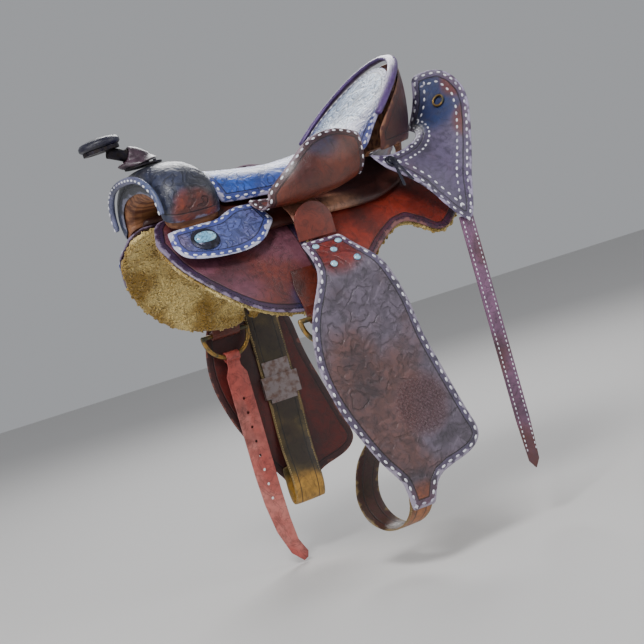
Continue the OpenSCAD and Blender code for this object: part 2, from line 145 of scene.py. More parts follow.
def grain_group():
    """Hide grain: small cells with creases between them, and long dry wrinkles."""
    tree, ins, outs = group("hide_grain", [("Cell Scale", 380), ("Crease Scale", 26)],
                            [("Height", "NodeSocketFloat"), ("Cracks", "NodeSocketFloat")])
    place = node(tree, "ShaderNodeTexCoord").outputs["Object"]
    cells = node(tree, "ShaderNodeTexVoronoi", [("Vector", place), ("Scale", ins.outputs["Cell Scale"])],
                 feature="DISTANCE_TO_EDGE").outputs["Distance"]
    bent = node(tree, "ShaderNodeTexNoise", [("Vector", place), ("Scale", ins.outputs["Crease Scale"]),
                                             ("Detail", 8.0), ("Distortion", 1.6)]).outputs["Fac"]
    ridge = math_node(tree, "ABSOLUTE", minus(tree, bent, 0.5))
    cracks = ramp(tree, ridge, 0.035, 0.0)
    height = minus(tree, times(tree, ramp(tree, cells, 0.0, 0.16), 0.5),
                       times(tree, cracks, 0.5))
    tree.links.new(height, outs.inputs["Height"])
    tree.links.new(cracks, outs.inputs["Cracks"])
    return tree


def wear_group():
    """Bands along a panel's edge, read from how far each point is from that edge (in metres)."""
    tree, ins, outs = group("edge_wear", [("Rubbed Width", 0.004), ("Groove At", 0.016)],
                            [("Rubbed", "NodeSocketFloat"), ("Groove", "NodeSocketFloat"),
                             ("Border", "NodeSocketFloat")])
    edge = node(tree, "ShaderNodeAttribute", attribute_name="edge").outputs["Fac"]
    patchy = times(tree, minus(tree, noise_of(tree, 60.0, 6.0), 0.42), 0.03)
    worn = minus(tree, edge, patchy)
    tree.links.new(minus(tree, 1.0, ramp(tree, worn, 0.0, ins.outputs["Rubbed Width"])),
                   outs.inputs["Rubbed"])
    away = math_node(tree, "ABSOLUTE", minus(tree, edge, ins.outputs["Groove At"]))
    tree.links.new(ramp(tree, away, 0.0016, 0.0004), outs.inputs["Groove"])
    tree.links.new(ramp(tree, minus(tree, edge, ins.outputs["Groove At"]), 0.0, -0.0008),
                   outs.inputs["Border"])
    return tree


def stamp_group():
    """A basket stamp: short bars laid over and under one another, in the plane of the saddle's side."""
    tree, ins, outs = group("basket_stamp", [("Size", 0.008)], [("Height", "NodeSocketFloat")])
    place = node(tree, "ShaderNodeTexCoord").outputs["Object"]
    place = node(tree, "ShaderNodeSeparateXYZ", [(0, place)]).outputs
    turned = []
    for sign in ("ADD", "SUBTRACT"):
        along = math_node(tree, sign, place["X"], place["Z"])
        turned.append(math_node(tree, "DIVIDE", along, ins.outputs["Size"]))
    cell = math_node(tree, "ADD", math_node(tree, "FLOOR", turned[0]), math_node(tree, "FLOOR", turned[1]))
    parity = math_node(tree, "ABSOLUTE", math_node(tree, "MODULO", cell, 2.0))
    odd = math_node(tree, "GREATER_THAN", parity, 0.5)
    bars = [waves(tree, v, math.pi * 3) for v in turned]
    humps = [waves(tree, v, math.pi) for v in turned]
    one = times(tree, bars[0], humps[1])
    two = times(tree, bars[1], humps[0])
    height = node(tree, "ShaderNodeMix", [(0, odd), (2, one), (3, two)]).outputs[0]
    tree.links.new(height, outs.inputs["Height"])
    return tree


def tooling_group():
    """Carved scrolls and petals: curved ridges around scattered centres."""
    tree, ins, outs = group("carved_scrolls", [("Scale", 26)], [("Height", "NodeSocketFloat")])
    place = node(tree, "ShaderNodeTexCoord").outputs["Object"]
    drift = node(tree, "ShaderNodeTexNoise", [("Vector", place), ("Scale", 34.0), ("Detail", 2.0)])
    drift = node(tree, "ShaderNodeVectorMath", [(0, drift.outputs["Color"]), ("Scale", 0.045)],
                 operation="SCALE")
    place = node(tree, "ShaderNodeVectorMath", [(0, place), (1, drift.outputs[0])], operation="ADD").outputs[0]
    centres = [("Vector", place), ("Scale", ins.outputs["Scale"]), ("Randomness", 0.8)]
    cells = node(tree, "ShaderNodeTexVoronoi", centres, feature="SMOOTH_F1").outputs["Distance"]
    petals = waves(tree, cells, 11.0)
    beds = node(tree, "ShaderNodeTexVoronoi", centres, feature="DISTANCE_TO_EDGE").outputs["Distance"]
    height = times(tree, ramp(tree, petals, 0.1, 0.55), ramp(tree, beds, 0.02, 0.12))
    tree.links.new(height, outs.inputs["Height"])
    return tree


GRAIN = grain_group()
WEAR = wear_group()
STAMP = stamp_group()
TOOLING = tooling_group()


# ---------- materials ----------
def new_material(name):
    made = bpy.data.materials.new(name)
    made.use_nodes = True
    shader = made.node_tree.nodes["Principled BSDF"]
    return made, made.node_tree, shader


def use(tree, effect, **values):
    """One of the shared effects, placed in a material with its own values."""
    made = tree.nodes.new("ShaderNodeGroup")
    made.node_tree = effect
    for key, value in values.items():
        made.inputs[key.replace("_", " ")].default_value = value
    return made.outputs


def bump(tree, height, distance, strength=1.0, below=None):
    links = [("Height", height), ("Distance", distance), ("Strength", strength)]
    if below:
        links.append(("Normal", below))
    return node(tree, "ShaderNodeBump", links).outputs["Normal"]


def leather(name, base, patch, rubbed, border=None, dark=(0.05, 0.04, 0.05), patch_scale=7.0, patch_at=0.5,
            rough=0.46, stamp=None, tooling=0.0, carve=0.55, zones=()):
    """Dyed leather with patches, a rubbed edge, a grooved border and cracks.

    zones holds (centre, radius, colour); stamp is the basket stamp's (centre, radius); tooling is the carving's
    scale, and carve how dark its ground is.
    """
    made, tree, shader = new_material(name)
    grain = use(tree, GRAIN)
    wear = use(tree, WEAR)
    clouds = noise_of(tree, patch_scale, 7.0)
    fine = noise_of(tree, 90.0, 5.0)
    colour = mix(tree, ramp(tree, clouds, patch_at - 0.09, patch_at + 0.09), base, patch)
    place = node(tree, "ShaderNodeTexCoord").outputs["Object"]
    # zones tint set places: dye colours, and on some looks painted shade and a painted highlight
    for centre, size, tint in zones:
        far = far_from(tree, place, centre)
        wavy = math_node(tree, "MULTIPLY_ADD", minus(tree, clouds, 0.5), size * 1.2, far)
        mask = ramp(tree, wavy, size * 1.2, size * 0.7)
        colour = mix(tree, times(tree, mask, 0.9), colour, tint)
    if border:
        colour = mix(tree, times(tree, wear["Border"], 0.8), colour, border)
    shade = times(tree, ramp(tree, fine, 0.62, 0.36), 0.35)
    colour = mix(tree, shade, colour, tuple(0.6 * c for c in base))
    deep = times(tree, ramp(tree, noise_of(tree, 11.0, 6.0), 0.5, 0.68), 0.6)
    colour = mix(tree, deep, colour, tuple(0.5 * c for c in base))
    colour = mix(tree, times(tree, grain["Cracks"], 0.35), colour, dark)
    normal = None
    if tooling:
        carved = use(tree, TOOLING, Scale=tooling)["Height"]
        inside = minus(tree, 1.0, wear["Border"])
        depth = times(tree, carved, inside)
        sunk = times(tree, minus(tree, 1.0, carved), inside)
        colour = mix(tree, times(tree, sunk, carve), colour, dark)
        normal = bump(tree, depth, 0.0016)
    if stamp:
        centre, size = stamp
        far = far_from(tree, place, centre)
        wavy = math_node(tree, "ADD", far, times(tree, clouds, 0.06))
        mask = ramp(tree, wavy, size + 0.02, size - 0.01)
        woven = use(tree, STAMP)["Height"]
        sunk = times(tree, mask, minus(tree, 1.0, woven))
        colour = mix(tree, times(tree, mask, 0.5), colour, (0.54, 0.36, 0.38))
        colour = mix(tree, times(tree, sunk, 0.6), colour, dark)
        normal = bump(tree, times(tree, woven, mask), 0.0016, below=normal)
    colour = mix(tree, times(tree, wear["Groove"], 0.75), colour, dark)
    colour = mix(tree, times(tree, wear["Rubbed"], 0.8), colour, rubbed)
    tree.links.new(colour, shader.inputs["Base Color"])
    dull = math_node(tree, "MULTIPLY_ADD", fine, 0.3, rough - 0.12)
    dull = math_node(tree, "MULTIPLY_ADD", wear["Rubbed"], 0.15, dull)
    tree.links.new(dull, shader.inputs["Roughness"])
    normal = bump(tree, wear["Groove"], -0.0009, below=normal)
    normal = bump(tree, grain["Height"], 0.00035, 0.8, normal)
    normal = bump(tree, clouds, 0.003, 0.35, normal)
    tree.links.new(normal, shader.inputs["Normal"])
    shader.inputs["Coat Weight"].default_value = 0.3
    shader.inputs["Coat Roughness"].default_value = 0.32
    return made


def metal(name, bright, tarnish, rough, amount=0.5):
    """Cast or stamped metal with tarnish in patches and fine scratches."""
    made, tree, shader = new_material(name)
    spots = noise_of(tree, 95.0, 8.0)
    mask = ramp(tree, spots, amount + 0.14, amount - 0.14)
    tree.links.new(mix(tree, mask, bright, tarnish), shader.inputs["Base Color"])
    tree.links.new(minus(tree, 1.0, times(tree, mask, 0.75)),
                   shader.inputs["Metallic"])
    tree.links.new(math_node(tree, "MULTIPLY_ADD", mask, 0.3, rough), shader.inputs["Roughness"])
    scratches = noise_of(tree, 260.0, 3.0, (1, 1, 14))
    pitted = bump(tree, spots, 0.0006, 0.6)
    tree.links.new(bump(tree, scratches, 0.0002, 0.5, pitted), shader.inputs["Normal"])
    return made


def wood(name, light, dark):
    """Hand-shaped tree wood with long grain, showing through a thin rawhide glaze."""
    made, tree, shader = new_material(name)
    rings = noise_of(tree, 30.0, 6.0, (0.25, 3, 3))
    tree.links.new(mix(tree, ramp(tree, rings, 0.4, 0.62), light, dark), shader.inputs["Base Color"])
    tree.links.new(math_node(tree, "MULTIPLY_ADD", rings, 0.3, 0.4), shader.inputs["Roughness"])
    tree.links.new(bump(tree, rings, 0.0008), shader.inputs["Normal"])
    return made


def stone(name):
    """Turquoise with a dark matrix of veins."""
    made, tree, shader = new_material(name)
    veins = math_node(tree, "ABSOLUTE", minus(tree, noise_of(tree, 120.0, 6.0), 0.5))
    tone = mix(tree, ramp(tree, noise_of(tree, 45.0), 0.4, 0.6), (0.44, 0.68, 0.82), (0.66, 0.84, 0.92))
    line = ramp(tree, veins, 0.02, 0.004)
    tree.links.new(mix(tree, line, tone, (0.08, 0.08, 0.10)), shader.inputs["Base Color"])
    tree.links.new(math_node(tree, "MULTIPLY_ADD", line, 0.4, 0.16), shader.inputs["Roughness"])
    tree.links.new(bump(tree, line, -0.0003), shader.inputs["Normal"])
    shader.inputs["Coat Weight"].default_value = 0.5
    return made


def wool(name, light, deep):
    """Packed woolskin, cream at the tips and ochre where it is dirty."""
    made, tree, shader = new_material(name)
    dirt = noise_of(tree, 14.0, 6.0)
    curl = noise_of(tree, 420.0, 5.0)
    colour = mix(tree, ramp(tree, dirt, 0.4, 0.62), light, deep)
    colour = mix(tree, times(tree, ramp(tree, curl, 0.6, 0.35), 0.55), colour,
                 tuple(0.45 * c for c in deep))
    tree.links.new(colour, shader.inputs["Base Color"])
    shader.inputs["Roughness"].default_value = 0.95
    shader.inputs["Sheen Weight"].default_value = 0.35
    tree.links.new(bump(tree, curl, 0.002), shader.inputs["Normal"])
    return made


def lace(name, colour, soiled):
    """Buckstitch lace: pale hide strip, greyed where it has been handled."""
    made, tree, shader = new_material(name)
    tree.links.new(mix(tree, ramp(tree, noise_of(tree, 30.0, 5.0), 0.45, 0.7), colour, soiled),
                   shader.inputs["Base Color"])
    shader.inputs["Roughness"].default_value = 0.5
    tree.links.new(bump(tree, noise_of(tree, 800.0), 0.0002), shader.inputs["Normal"])
    return made


FENDER_STAMP = ((-0.055, 0.25, -0.46), 0.075)


def on_both(x, y, z, size, tint):
    """The same zone on the near and the off side, from millimetres."""
    return [((x * MM, k * y * MM, z * MM), size * MM, tint) for _, k in SIDES]


LOOK = {
    "seat_blue": leather("seat_blue_leather", (0.30, 0.33, 0.58), (0.44, 0.44, 0.66), (0.66, 0.64, 0.76),
                         border=(0.16, 0.19, 0.44), tooling=24.0, patch_scale=5.0, patch_at=0.56, rough=0.3,
                         zones=[((0.07, 0.0, 0.03), 0.13, (0.10, 0.34, 0.74)),
                                # painted highlight: the cantle's dish made near white where the light falls on it
                                ((-0.27, 0.0, 0.11), 0.12, (0.72, 0.82, 0.94))], carve=0.3),
    "cover_blue": leather("fork_cover_leather", (0.20, 0.22, 0.31), (0.28, 0.28, 0.30), (0.48, 0.48, 0.56),
                          tooling=22.0, patch_scale=6.0, patch_at=0.58, rough=0.36,
                          zones=on_both(196, 128, -22, 40, (0.56, 0.24, 0.12)), carve=0.4),
    "jockey_blue": leather("jockey_blue_leather", (0.34, 0.38, 0.62), (0.48, 0.44, 0.60), (0.80, 0.80, 0.88),
                           border=(0.26, 0.30, 0.58), tooling=34.0, rough=0.34, carve=0.35),
    "lip": leather("gullet_lip_leather", (0.32, 0.36, 0.50), (0.46, 0.46, 0.58), (0.66, 0.66, 0.76),
                   rough=0.36),
    "rear_jockey": leather("rear_jockey_leather", (0.37, 0.33, 0.44), (0.35, 0.25, 0.28), (0.66, 0.62, 0.74),
                           border=(0.33, 0.28, 0.40), patch_at=0.52, rough=0.36,
                           # the first zone is blue leather in each hood's hollow, darkened there as painted shade
                           zones=on_both(-342, 60, 66, 74, (0.07, 0.19, 0.38))
                           + on_both(-404, 112, 92, 34, (0.42, 0.20, 0.18))
                           + on_both(-388, 158, 8, 36, (0.42, 0.22, 0.20))),
    "seat_jockey": leather("seat_jockey_leather", (0.42, 0.19, 0.12), (0.28, 0.14, 0.14), (0.58, 0.50, 0.54),
                           border=(0.22, 0.13, 0.16), patch_at=0.52, rough=0.32,
                           # painted shade: a dark grey patch high on each seat jockey, where it curls
                           zones=on_both(-30, 205, 44, 44, (0.20, 0.19, 0.27))),
    "front_skirt": leather("front_skirt_leather", (0.42, 0.25, 0.30), (0.42, 0.19, 0.16), (0.52, 0.46, 0.56),
                           border=(0.07, 0.09, 0.26), patch_at=0.5, patch_scale=6.0, rough=0.38,
                           # painted shade: each front skirt darkened to navy towards its bottom
                           zones=on_both(60, 214, -235, 60, (0.14, 0.15, 0.30))),
    "rear_skirt": leather("rear_skirt_leather", (0.52, 0.17, 0.11), (0.28, 0.10, 0.10), (0.50, 0.32, 0.30),
                          border=(0.12, 0.10, 0.22), patch_at=0.52, patch_scale=6.0, rough=0.4),
    "rust": leather("rust_leather", (0.38, 0.15, 0.09), (0.24, 0.10, 0.09), (0.54, 0.36, 0.26), rough=0.4),
    "red": leather("red_strap_leather", (0.70, 0.33, 0.30), (0.80, 0.50, 0.46), (0.82, 0.60, 0.56),
                   rough=0.36),
    "fender": leather("fender_leather", (0.42, 0.38, 0.44), (0.42, 0.30, 0.29), (0.64, 0.60, 0.68),
                      border=(0.32, 0.29, 0.40), stamp=FENDER_STAMP, patch_scale=6.0, patch_at=0.5,
                      rough=0.38, tooling=17.0, carve=0.25,
                      zones=[((0.01, 0.21, -0.15), 0.055, (0.50, 0.16, 0.11)),
                             ((-0.02, 0.25, -0.65), 0.055, (0.66, 0.36, 0.20))]),
    "fender_off": leather("off_fender_leather", (0.36, 0.09, 0.07), (0.20, 0.07, 0.08), (0.48, 0.28, 0.24),
                          border=(0.18, 0.07, 0.09), patch_scale=5.0, rough=0.5),
    "olive": leather("olive_leather", (0.36, 0.30, 0.16), (0.20, 0.15, 0.11), (0.50, 0.42, 0.26),
                     patch_scale=12.0,
                     # painted shadow: the first zone darkens the near loop's inner ply, where shade falls; the
                     # other two are the loops' golden bottoms
                     zones=[((0.008, 0.130, -0.570), 0.11, (0.24, 0.09, 0.12)),
                            ((-0.014, 0.235, -0.650), 0.06, (0.70, 0.42, 0.22)),
                            ((-0.018, -0.225, -0.630), 0.05, (0.78, 0.58, 0.24))]),
    "rawhide": leather("rawhide_over_wood", (0.32, 0.16, 0.13), (0.24, 0.12, 0.11), (0.50, 0.34, 0.28),
                       rough=0.45, zones=on_both(-78, 165, -78, 44, (0.78, 0.56, 0.44))),
    "raw": leather("raw_leather", (0.66, 0.44, 0.36), (0.46, 0.25, 0.20), (0.74, 0.58, 0.48), rough=0.5),
    "top": leather("leather_top_leather", (0.44, 0.18, 0.13), (0.34, 0.15, 0.14), (0.50, 0.30, 0.26),
                   rough=0.4),
    "horn": leather("horn_leather", (0.17, 0.12, 0.18), (0.27, 0.19, 0.24), (0.42, 0.32, 0.34), rough=0.3),
    "dark": leather("dark_leather", (0.06, 0.06, 0.15), (0.12, 0.11, 0.21), (0.26, 0.24, 0.32), rough=0.3),
    "purple": leather("binding_leather", (0.28, 0.18, 0.40), (0.40, 0.30, 0.52), (0.56, 0.48, 0.64),
                      rough=0.3),
    "tail_near": leather("near_tail_strap_leather", (0.50, 0.35, 0.47), (0.36, 0.20, 0.18),
                         (0.68, 0.58, 0.66)),
    "tail_off": leather("off_tail_strap_leather", (0.76, 0.62, 0.34), (0.62, 0.44, 0.24),
                        (0.84, 0.76, 0.56)),
    "wood": wood("tree_wood", (0.56, 0.38, 0.26), (0.34, 0.20, 0.14)),
    "iron": metal("horn_iron", (0.20, 0.19, 0.22), (0.12, 0.08, 0.08), 0.4),
    "steel": metal("tack_steel", (0.58, 0.54, 0.54), (0.44, 0.35, 0.32), 0.3, 0.46),
    "brass": metal("patinated_brass", (0.66, 0.52, 0.30), (0.30, 0.30, 0.24), 0.3, 0.5),
    "setting": metal("dark_silver", (0.30, 0.30, 0.36), (0.08, 0.08, 0.12), 0.3, 0.5),
    "stone": stone("turquoise_stone"),
    "wool": wool("woolskin", (0.88, 0.78, 0.50), (0.60, 0.47, 0.18)),
    "lace_white": lace("white_lace", (0.92, 0.92, 0.95), (0.66, 0.64, 0.72)),
    "lace_cream": lace("cream_thread", (0.72, 0.62, 0.42), (0.46, 0.36, 0.24)),
    "lace_dark": lace("dark_thread", (0.06, 0.06, 0.14), (0.14, 0.12, 0.15)),
}


# ---------- panels ----------
def flat_groups(mesh, turn=math.radians(50)):
    """The mesh's faces in groups parted by sharp edges, the largest first."""
    left = set(mesh.faces)
    found = []
    while left:
        seed = left.pop()
        part, todo = {seed}, [seed]
        while todo:
            face = todo.pop()
            for edge in face.edges:
                if len(edge.link_faces) == 2 and edge.calc_face_angle(0) < turn:
                    for other in edge.link_faces:
                        if other in left:
                            left.discard(other)
                            part.add(other)
                            todo.append(other)
        found.append(part)
    return sorted(found, key=lambda part: -sum(f.calc_area() for f in part))


def boundary(part):
    """The points around a group of faces, in order, with the group's normal at each."""
    rim = [e for f in part for e in f.edges if sum(g in part for g in e.link_faces) == 1]
    near = {}
    for edge in rim:
        for vert in edge.verts:
            near.setdefault(vert, []).append(edge.other_vert(vert))
    start = min(near, key=lambda v: v.index)
    loop, last = [start], None
    while True:
        following = [v for v in near[loop[-1]] if v is not last]
        if not following:
            break
        last = loop[-1]
        if following[0] is start or len(loop) > len(near):
            break
        loop.append(following[0])
    normals = [sum((f.normal for f in v.link_faces if f in part), Vector()).normalized() for v in loop]
    return [v.co.copy() for v in loop], normals


def node_copy(name):
    """A node's mesh with its loose triangles joined up."""
    mesh = bmesh.new()
    mesh.from_mesh(NODES[name].data)
    bmesh.ops.remove_doubles(mesh, verts=mesh.verts, dist=WELD)
    return mesh


def panel(name, side=1, turn=math.radians(50)):
    """A node's mesh, the outline of its outer face and the normals there, and both for its inner face."""
    mesh = node_copy(name)
    mesh.verts.index_update()
    two = flat_groups(mesh, turn)[:2]
    out = Vector((0, 0.6 * side, 0.8))
    two.sort(key=lambda part: -sum((f.normal * f.calc_area() for f in part), Vector()).dot(out))
    outer, inner = (boundary(part) for part in two)
    return mesh, *outer, inner


def new_object(name, data):
    """An object at the origin, in the scene, that holds the data."""
    made = bpy.data.objects.new(name, data)
    bpy.context.collection.objects.link(made)
    return made


def make_plain(made):
    """Keeps what an object's modifiers make as its plain mesh."""
    made.data = bpy.data.meshes.new_from_object(made.evaluated_get(bpy.context.evaluated_depsgraph_get()))
    made.modifiers.clear()


def push_out(data, amount):
    """Moves every point along its normal by amount(point) millimetres."""
    normals = [Vector(n.vector) for n in data.vertex_normals]
    for vert, normal in zip(data.vertices, normals):
        vert.co += normal * (amount(vert.co) * MM)
    data.update()


def soften(name, mesh, line, levels, rough, seed=0.0):
    """A finished piece: rounded edges when levels isn't 0, waves of rough millimetres, and the edge attribute."""
    if levels:
        bmesh.ops.join_triangles(mesh, faces=mesh.faces, angle_face_threshold=0.7, angle_shape_threshold=1.2)
    data = bpy.data.meshes.new(name)
    mesh.to_mesh(data)
    mesh.free()
    made = new_object(name, data)
    if levels:
        smooth = made.modifiers.new("round", "SUBSURF")
        smooth.levels = smooth.render_levels = levels
        make_plain(made)
    tree = None
    if line:
        dense = [a.lerp(b, k / 6) for a, b in zip(line, line[1:] + line[:1]) for k in range(6)]
        tree = kdtree.KDTree(len(dense))
        for k, point in enumerate(dense):
            tree.insert(point, k)
        tree.balance()
    edge = made.data.attributes.new("edge", "FLOAT", "POINT")
    for vert, slot in zip(made.data.vertices, edge.data):
        slot.value = min(tree.find(vert.co)[2], FULL_EDGE) if tree else FULL_EDGE
    if rough:
        shift = Vector((seed, seed * 0.7, seed * 1.3))
        push_out(made.data, lambda co: rough * (noise.noise(co * 14 + shift)
                                                + 0.45 * noise.noise(co * 42 + shift)))
    made.data.shade_smooth()
    return made


def finish_piece(made, look, body, slot, *nodes):
    """Gives a piece its look and body, and lets it stand for its nodes; slot is not used."""
    made.data.materials.clear()
    made.data.materials.append(LOOK[look])
    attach(made, body)
    if nodes:
        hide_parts(*nodes)


def resample(points, normals, closed, spacing):
    """Evenly spaced (point, normal) along a line."""
    pairs = list(zip(points, normals))
    if closed:
        pairs.append(pairs[0])
    out, carry = [], 0.0
    for (a, na), (b, nb) in zip(pairs, pairs[1:]):
        length = (b - a).length
        while carry < length:
            out.append((a.lerp(b, carry / length), na.lerp(nb, carry / length).normalized()))
            carry += spacing
        carry -= length
    return out


def inset_line(mesh_object, line, normals, inset):
    """The panel's outline moved inwards and laid back on its finished surface."""
    tree = BVHTree.FromObject(mesh_object, bpy.context.evaluated_depsgraph_get())
    rows = resample(line, normals, True, ROW_SPACING)
    above, reach = 6 * MM, 14 * MM
    moved = []
    count = len(rows)
    middle = sum((p for p, _ in rows), Vector()) / count
    for k, (point, normal) in enumerate(rows):
        along = rows[(k + 3) % count][0] - rows[(k - 3) % count][0]
        inward = normal.cross(along).normalized()
        moved.append((point + inward * inset, normal, inward))
    if sum((row[2].dot(middle - row[0]) for row in moved)) < 0:
        moved = [(p - 2 * inward * inset, n, -inward) for p, n, inward in moved]
    laid = []
    for point, normal, _ in moved:
        hit = tree.ray_cast(point + normal * above, -normal, reach)
        laid.append((hit[0], hit[1]) if hit[0] is not None and hit[1].dot(normal) > 0.2 else None)
    kept = []
    outline = kdtree.KDTree(count)
    for k, (point, _) in enumerate(rows):
        outline.insert(point, k)
    outline.balance()
    for row in laid:
        if row is not None and outline.find(row[0])[2] < inset * 0.8:
            row = None
        kept.append(row)
    return kept


# ---------- stitches ----------
def stitch_nodes():
    """Lays one stitch at every so many millimetres of a line; 'up' holds the leather's normal along it."""
    tree = bpy.data.node_groups.new("lay_stitches", "GeometryNodeTree")
    add = tree.interface.new_socket
    add("Geometry", in_out="INPUT", socket_type="NodeSocketGeometry")
    for label, value in (("Pitch", 0.009), ("Length", 0.006), ("Width", 0.0022), ("Height", 0.0014)):
        add(label, in_out="INPUT", socket_type="NodeSocketFloat").default_value = value
    add("Material", in_out="INPUT", socket_type="NodeSocketMaterial")
    add("Geometry", in_out="OUTPUT", socket_type="NodeSocketGeometry")
    ins = tree.nodes.new("NodeGroupInput")
    outs = tree.nodes.new("NodeGroupOutput")
    curve = node(tree, "GeometryNodeMeshToCurve", [("Mesh", ins.outputs["Geometry"])])
    even = node(tree, "GeometryNodeResampleCurve",
                [("Curve", curve.outputs[0]), ("Length", ins.outputs["Pitch"])], mode="LENGTH")
    up = node(tree, "GeometryNodeInputNamedAttribute", [("Name", "up")], data_type="FLOAT_VECTOR")
    along = node(tree, "GeometryNodeInputTangent")
    turn_x = node(tree, "FunctionNodeAlignEulerToVector", [("Vector", along.outputs[0])], axis="X")
    turn_z = node(tree, "FunctionNodeAlignEulerToVector",
                  [("Rotation", turn_x.outputs[0]), ("Vector", up.outputs["Attribute"])],
                  axis="Z", pivot_axis="X")
    ball = node(tree, "GeometryNodeMeshUVSphere", [("Segments", 8), ("Rings", 5), ("Radius", 0.5)])
    size = node(tree, "ShaderNodeCombineXYZ", [("X", ins.outputs["Length"]), ("Y", ins.outputs["Width"]),
                                               ("Z", ins.outputs["Height"])])
    laid = node(tree, "GeometryNodeInstanceOnPoints",
                [("Points", even.outputs[0]), ("Instance", ball.outputs[0]),
                 ("Rotation", turn_z.outputs[0]), ("Scale", size.outputs[0])])
    real = node(tree, "GeometryNodeRealizeInstances", [(0, laid.outputs[0])])
    shaded = node(tree, "GeometryNodeSetShadeSmooth", [(0, real.outputs[0])])
    done = node(tree, "GeometryNodeSetMaterial",
                [(0, shaded.outputs[0]), ("Material", ins.outputs["Material"])])
    tree.links.new(done.outputs[0], outs.inputs[0])
    return tree


STITCHES = stitch_nodes()


def run_nodes(made, tree, **values):
    """Runs a geometry tree on an object and keeps the result as its plain mesh."""
    modifier = made.modifiers.new("make", "NODES")
    modifier.node_group = tree
    sockets = {s.name: s.identifier for s in tree.interface.items_tree
               if s.item_type == "SOCKET" and s.in_out == "INPUT"}
    for key, value in values.items():
        modifier[sockets[key]] = value
    make_plain(made)


def stitch_size(pitch, length, width, height):
    """One stitch's sizes, from millimetres."""
    return {"Pitch": pitch * MM, "Length": length * MM, "Width": width * MM, "Height": height * MM}


BUCKSTITCH = stitch_size(15.5, 8.6, 4.4, 2.8)
FENDER_BUCKSTITCH = stitch_size(17, 9.5, 4.6, 3.0)
STRAP_BUCKSTITCH = stitch_size(9, 5.6, 2.6, 1.8)
SKIRT_THREAD = stitch_size(6.0, 4.6, 1.6, 1.4)
LOOP_THREAD = stitch_size(5, 3.8, 1.3, 1.1)
WIDEST_STEP = 12 * MM    # two points of a row that lie further apart than this aren't joined


def sew(name, rows, body, look, sizes):
    """Stitches along rows of (point, normal); a None, or too wide a step, ends a line."""
    points, edges, ups = [], [], []
    for line in rows:
        last = None
        for row in line:
            if row is None:
                last = None
                continue
            if last is not None and (points[last] - row[0]).length < WIDEST_STEP:
                edges.append((last, len(points)))
            last = len(points)
            points.append(row[0])
            ups.append(row[1])
    data = bpy.data.meshes.new(name)
    data.from_pydata(points, edges, [])
    up = data.attributes.new("up", "FLOAT_VECTOR", "POINT")
    for k, value in enumerate(ups):
        up.data[k].vector = value
    made = new_object(name, data)
    run_nodes(made, STITCHES, Material=LOOK[look], **sizes)
    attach(made, body)


# ---------- the saddle's own leather ----------
HORN_X = 222 * MM          # the horn's axis at its foot
FLARE_TOP = 101 * MM       # where the wrap starts to spread
FLARE_HEIGHT = 15 * MM     # over which it spreads
FLARE = 0.62               # how much wider it gets


def flare_foot(data):
    """Spreads the foot of the horn's wrap over the iron flange."""
    for vert in data.vertices:
        drop = min(max((FLARE_TOP - vert.co.z) / FLARE_HEIGHT, 0), 1)
        spread = 1 + FLARE * drop * drop * (3 - 2 * drop)
        vert.co.x = HORN_X + (vert.co.x - HORN_X) * spread
        vert.co.y *= spread
    data.update()


# The fork's arch in millimetres: half width, foot and rise of its inner line, and the same for its outer one,
# whose foot is pinched in
INNER_HALF, INNER_FOOT, INNER_RISE = 80, -18.9, 33.9
OUTER_HALF, OUTER_FOOT, OUTER_RISE, OUTER_PINCH = 150, -51.2, 125.2, 34


def lip_line(made):
    """A line along the front of the gullet's lip, nearer the outer line of the arch than the inner one."""
    tree = BVHTree.FromObject(made, bpy.context.evaluated_depsgraph_get())
    rows = []
    for k in range(181):
        angle = math.radians(14 + 152 * k / 180)
        cos, sin = math.cos(angle), math.sin(angle)
        inner = (INNER_HALF * cos, INNER_FOOT + INNER_RISE * sin)
        outer = (math.copysign(OUTER_HALF * abs(cos) ** 0.75 - OUTER_PINCH * (1 - sin) ** 3, cos),
                 OUTER_FOOT + OUTER_RISE * sin ** 0.85)
        y, z = (0.2 * a + 0.8 * b for a, b in zip(inner, outer))
        hit = tree.ray_cast(Vector((0.3, y * MM, z * MM)), Vector((-1, 0, 0)), 0.06)
        rows.append((hit[0], hit[1]) if hit[0] is not None else None)
    return rows


# name: look, slot, waves in millimetres, how far in the lace lies, lace
PANELS = {
    "seat_jockey": ("seat_jockey", "grey_violet", 1.2, 7 * MM, "lace_white"),
    "front_jockey": ("jockey_blue", "seat_blue", 1.2, 7 * MM, "lace_white"),
    "rear_jockey": ("rear_jockey", "grey_violet", 2.0, 8 * MM, "lace_white"),
    "front_skirt": ("front_skirt", "rust", 1.6, 8 * MM, "lace_dark"),
    "rear_skirt": ("rear_skirt", "rust", 1.6, 8 * MM, "lace_dark"),
}
SEEN_FROM_BEHIND = ("seat_jockey", "rear_jockey")    # these are laced on both faces
REAR_BAND = 27 * MM                                  # the rear jockey's second row of lace
CENTRE_PANELS = {
    "seat_leather": ("seat_blue", "seat_blue", 1.0, 8 * MM, "lace_white"),
    "fork_cover": ("cover_blue", "seat_blue", 1.0, 6 * MM, "lace_dark"),
    "cantle_back": ("rust", "rust", 1.0, 9 * MM, "lace_dark"),
}
# name: look, slot
WRAPPED = {
    "gullet_roll": ("lip", "grey_violet"), "cantle_binding": ("purple", "binding_purple"),
    "horn_neck_wrap": ("horn", "horn_leather"), "horn_cap": ("dark", "dark_leather"),
    "ground_seat": ("rust", "rust"), "tree_bar_near": ("rawhide", "tree_wood"),
    "tree_bar_off": ("rawhide", "tree_wood"),
}
# lace: slot, stitch
SADDLE_LACE = {"lace_white": ("grey_violet", BUCKSTITCH), "lace_dark": ("rust", SKIRT_THREAD)}
lace_rows = {thread: [] for thread in SADDLE_LACE}


